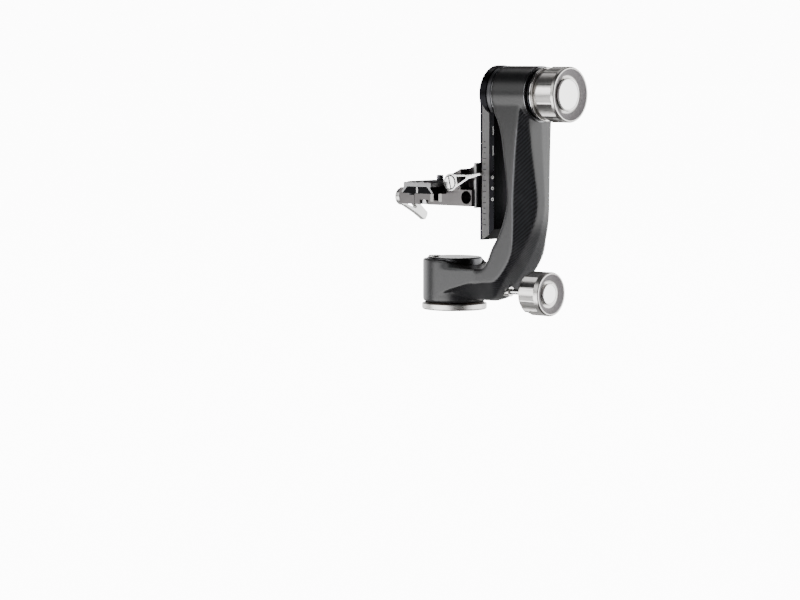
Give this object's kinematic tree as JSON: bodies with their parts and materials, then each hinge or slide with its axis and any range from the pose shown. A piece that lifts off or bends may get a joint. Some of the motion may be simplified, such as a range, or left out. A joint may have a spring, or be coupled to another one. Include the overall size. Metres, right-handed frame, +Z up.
{
  "type": "gimbal tripod head",
  "caption": "Side-mount gimbal tripod head with a J-shaped carbon arm, swing rail, sliding lens platform, lever clamps, fluted lock knobs and a quick-release plate.",
  "frame": {"origin": "centre of the base disc's underside, where it sits on the tripod", "axes": "+Z up along the pan axis, +X from the pan axis towards the arm, parallel to the tilt axis; the lens points along -Y"},
  "size_m": [0.1835, 0.1, 0.2255],
  "materials": {
    "carbon": "satin lacquered carbon fibre moulding",
    "black_anodised": "black anodised, bead blasted",
    "silver_aluminium": "turned, clear anodised",
    "polished_aluminium": "polished",
    "housing_aluminium": "machined",
    "grey_anodised": "grey anodised",
    "brass": "turned",
    "bronze": "plain bronze",
    "bearing_steel": "ground",
    "steel": "turned",
    "black_steel": "black oxide",
    "bright_steel": "satin nickel plated",
    "rubber": "ribbed",
    "level_glass": "clear green"
  },
  "bodies": {
    "base": {"base_disc": "silver_aluminium", "thread_bush": "brass", "pan_spindle": "steel", "base_screws": "black_steel", "thrust_washer": "bronze", "pan_washer": "steel", "pan_nut": "black_steel"},
    "yoke": {"arm_shell": "carbon", "pan_housing": "housing_aluminium", "pan_bearing_lower": "bearing_steel", "pan_bearing_upper": "bearing_steel", "base_cap": "black_anodised", "level_ring": "silver_aluminium", "level_lens": "level_glass", "lock_bush": "silver_aluminium", "tilt_housing": "housing_aluminium", "tilt_bearing_inner": "bearing_steel", "tilt_bearing_outer": "bearing_steel", "drum_end_ring": "black_anodised"},
    "pan_brake": {"brake_pad": "brass"},
    "pan_lock": {"pan_knob": "silver_aluminium", "pan_knob_face": "polished_aluminium", "pan_lock_shaft": "steel"},
    "swing": {"tilt_shaft": "steel", "hub_disc": "black_anodised", "swing_rail": "black_anodised", "hub_screws": "black_steel", "rail_side_screws": "bright_steel"},
    "tilt_press": {"tilt_thrust_washer": "bronze"},
    "tilt_lock": {"tilt_knob": "silver_aluminium", "tilt_knob_flange": "silver_aluminium", "tilt_knob_face": "polished_aluminium"},
    "platform": {"platform_bar": "black_anodised", "platform_back": "black_anodised", "platform_screws": "black_steel", "guide_pin": "steel", "safety_pin": "steel"},
    "height_key": {"slide_key": "steel"},
    "height_lock": {"height_lever": "bright_steel", "height_cam": "steel", "height_lever_screw": "bright_steel"},
    "jaw": {"clamp_jaw": "black_anodised"},
    "clamp_lock": {"clamp_lever": "bright_steel", "clamp_rod": "steel", "clamp_lever_screw": "bright_steel"},
    "plate": {"quick_plate": "grey_anodised", "camera_screws": "black_steel", "plate_pads": "rubber", "plate_stop_screws": "bright_steel"}
  },
  "joints": [
    {"name": "pan", "type": "hinge", "parent": "base", "child": "yoke", "pos_m": [0, 0, 0.02], "axis": [0, 0, 1], "continuous": true},
    {"name": "pan_brake_slide", "type": "slide", "parent": "yoke", "child": "pan_brake", "axis": [1, 0, 0], "range_m": [0, 0.00094]},
    {"name": "pan_lock_turn", "type": "hinge", "parent": "pan_brake", "child": "pan_lock", "pos_m": [0.1, 0, 0.0195], "axis": [1, 0, 0], "range_deg": [0, 270]},
    {"name": "tilt", "type": "hinge", "parent": "yoke", "child": "swing", "pos_m": [0.08, 0, 0.199], "axis": [1, 0, 0], "continuous": true},
    {"name": "tilt_press_slide", "type": "slide", "parent": "swing", "child": "tilt_press", "axis": [1, 0, 0], "range_m": [0, 0.00094]},
    {"name": "tilt_lock_turn", "type": "hinge", "parent": "tilt_press", "child": "tilt_lock", "pos_m": [0.12, 0, 0.199], "axis": [1, 0, 0], "range_deg": [0, 270]},
    {"name": "platform_height", "type": "slide", "parent": "swing", "child": "platform", "axis": [0, 0, 1], "range_m": [-0.02, 0.026]},
    {"name": "height_key_slide", "type": "slide", "parent": "platform", "child": "height_key", "axis": [1, 0, 0], "range_m": [0, 0.00039]},
    {"name": "height_lever_turn", "type": "hinge", "parent": "platform", "child": "height_lock", "pos_m": [0.0269, 0, 0.119], "axis": [0, -1, 0], "range_deg": [0, 90]},
    {"name": "jaw_slide", "type": "slide", "parent": "platform", "child": "jaw", "axis": [-1, 0, 0], "range_m": [0, 0.003]},
    {"name": "clamp_lever_turn", "type": "hinge", "parent": "jaw", "child": "clamp_lock", "pos_m": [-0.0403, -0.024, 0.1035], "axis": [-1, 0, 0], "range_deg": [0, 120]},
    {"name": "plate_slide", "type": "slide", "parent": "platform", "child": "plate", "axis": [0, 1, 0], "range_m": [-0.0113, 0.0113]}
  ],
  "couplings": [
    {"joint": "pan_lock_turn", "follows": "pan_brake_slide", "rad_per_m": 5000},
    {"joint": "tilt_lock_turn", "follows": "tilt_press_slide", "rad_per_m": 5000},
    {"joint": "height_lever_turn", "follows": "height_key_slide", "rad_per_m": 4000},
    {"joint": "clamp_lever_turn", "follows": "jaw_slide", "rad_per_m": 698}
  ]
}
